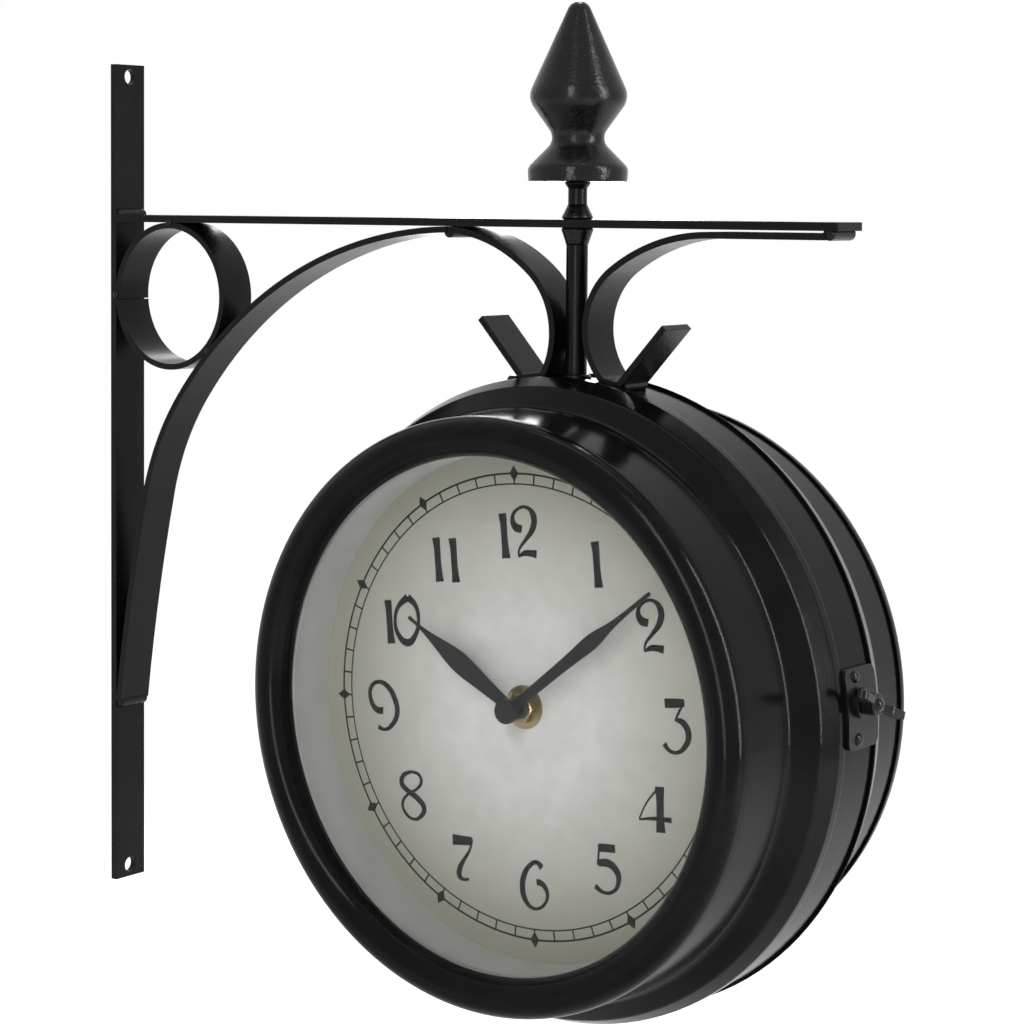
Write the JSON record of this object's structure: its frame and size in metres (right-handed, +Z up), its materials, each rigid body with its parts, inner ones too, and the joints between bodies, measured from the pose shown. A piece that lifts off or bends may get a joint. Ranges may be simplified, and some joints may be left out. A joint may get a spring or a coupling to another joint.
{
  "type": "double sided station clock on a wall bracket",
  "caption": "Round double sided clock in a black sheet case with a hinged rear door, hung by a rod from a scrolled wall bracket with a spear finial.",
  "frame": {"origin": "middle of the wall bar's back face, half way between its two screw holes", "axes": "+X out of the wall along the arm, +Z up, front dial faces -Y"},
  "size_m": [0.3619, 0.1232, 0.376],
  "materials": {
    "bracket_paint": "satin black paint on hot rolled strip",
    "weld_paint": "satin black paint over weld beads",
    "finial_paint": "gloss black paint on a turned casting",
    "case_paint": "gloss black enamel on spun sheet steel",
    "fitting_paint": "satin black paint",
    "steel": "bright",
    "brass_nut": "machined",
    "dial_glass": "flat clear glass",
    "seal_rubber": "matt",
    "reveal_paint": "pale satin paint",
    "dial_paint": "printed cream-grey dial",
    "hand_paint": "matt black",
    "cap_paint": "satin black",
    "movement_plastic": "moulded",
    "battery_sleeve": "printed sleeve, no marks",
    "contact_metal": "nickel plated",
    "coil_board": "lacquered board and wound coil",
    "gear_plastic": "moulded",
    "knob_plastic": "moulded"
  },
  "bodies": {
    "clock": {"wall_bar": "bracket_paint", "arm_bar": "bracket_paint", "corner_ring": "bracket_paint", "brace_strip": "bracket_paint", "scroll_wall_side": "bracket_paint", "scroll_tip_side": "bracket_paint", "hanger_rod": "bracket_paint", "finial": "finial_paint", "finial_collar": "bracket_paint", "weld_beads": "weld_paint", "case_band": "case_paint", "front_shell": "case_paint", "clasp_keeper_plate": "fitting_paint", "clasp_rivets": "fitting_paint", "hinge_leaf_band": "fitting_paint", "hinge_pin": "steel", "front_bezel": "case_paint", "front_glass": "dial_glass", "front_glass_seal": "seal_rubber", "front_reveal_ring": "reveal_paint", "front_dial": "dial_paint", "front_movement_case": "movement_plastic", "front_movement_cover": "movement_plastic", "front_battery": "battery_sleeve", "front_battery_contacts": "contact_metal", "front_coil_board": "coil_board", "front_nut_washer": "brass_nut", "front_hex_nut": "brass_nut"},
    "rear_door": {"rear_shell": "case_paint", "hinge_leaf_door": "fitting_paint", "rear_bezel": "case_paint", "rear_glass": "dial_glass", "rear_glass_seal": "seal_rubber", "rear_reveal_ring": "reveal_paint", "rear_dial": "dial_paint", "rear_movement_case": "movement_plastic", "rear_movement_cover": "movement_plastic", "rear_battery": "battery_sleeve", "rear_battery_contacts": "contact_metal", "rear_coil_board": "coil_board", "rear_nut_washer": "brass_nut", "rear_hex_nut": "brass_nut"},
    "front_minute": {"front_minute_arbor": "brass_nut", "front_minute_hand": "hand_paint", "front_centre_cap": "cap_paint"},
    "front_hour": {"front_hour_wheel": "gear_plastic", "front_hour_hand": "hand_paint"},
    "front_setter": {"front_motion_wheel": "gear_plastic", "front_setting_knob": "knob_plastic"},
    "rear_minute": {"rear_minute_arbor": "brass_nut", "rear_minute_hand": "hand_paint", "rear_centre_cap": "cap_paint"},
    "rear_hour": {"rear_hour_wheel": "gear_plastic", "rear_hour_hand": "hand_paint"},
    "rear_setter": {"rear_motion_wheel": "gear_plastic", "rear_setting_knob": "knob_plastic"},
    "clasp_washer_body": {"clasp_washer": "fitting_paint"},
    "wing_screw_body": {"wing_screw": "fitting_paint"}
  },
  "joints": [
    {"name": "rear_door_hinge", "type": "hinge", "parent": "clock", "child": "rear_door", "pos_m": [0.1099, 0.0128, -0.0668], "axis": [0, 0, 1], "range_deg": [0, 95]},
    {"name": "front_minute_turn", "type": "hinge", "parent": "clock", "child": "front_minute", "pos_m": [0.232, 0, -0.0668], "axis": [0, 1, 0], "continuous": true},
    {"name": "front_hour_turn", "type": "hinge", "parent": "clock", "child": "front_hour", "pos_m": [0.232, 0, -0.0668], "axis": [0, 1, 0], "continuous": true},
    {"name": "front_setter_turn", "type": "hinge", "parent": "clock", "child": "front_setter", "pos_m": [0.232, 0, -0.0548], "axis": [0, 1, 0], "continuous": true},
    {"name": "rear_minute_turn", "type": "hinge", "parent": "rear_door", "child": "rear_minute", "pos_m": [0.232, 0, -0.0668], "axis": [0, -1, 0], "continuous": true},
    {"name": "rear_hour_turn", "type": "hinge", "parent": "rear_door", "child": "rear_hour", "pos_m": [0.232, 0, -0.0668], "axis": [0, -1, 0], "continuous": true},
    {"name": "rear_setter_turn", "type": "hinge", "parent": "rear_door", "child": "rear_setter", "pos_m": [0.232, 0, -0.0548], "axis": [0, -1, 0], "continuous": true},
    {"name": "wing_screw_turn", "type": "hinge", "parent": "clasp_washer_body", "child": "wing_screw_body", "pos_m": [0.352, 0, -0.0548], "axis": [1, 0, 0], "range_deg": [0, 1080]},
    {"name": "wing_screw_travel", "type": "slide", "parent": "clock", "child": "clasp_washer_body", "axis": [1, 0, 0], "range_m": [0, 0.0022]}
  ],
  "couplings": [
    {"joint": "front_hour_turn", "follows": "front_minute_turn", "ratio": 0.083333},
    {"joint": "front_setter_turn", "follows": "front_minute_turn", "ratio": -0.33333},
    {"joint": "rear_hour_turn", "follows": "rear_minute_turn", "ratio": 0.083333},
    {"joint": "rear_setter_turn", "follows": "rear_minute_turn", "ratio": -0.33333},
    {"joint": "wing_screw_travel", "follows": "wing_screw_turn", "m_per_rad": 0.00011141}
  ]
}
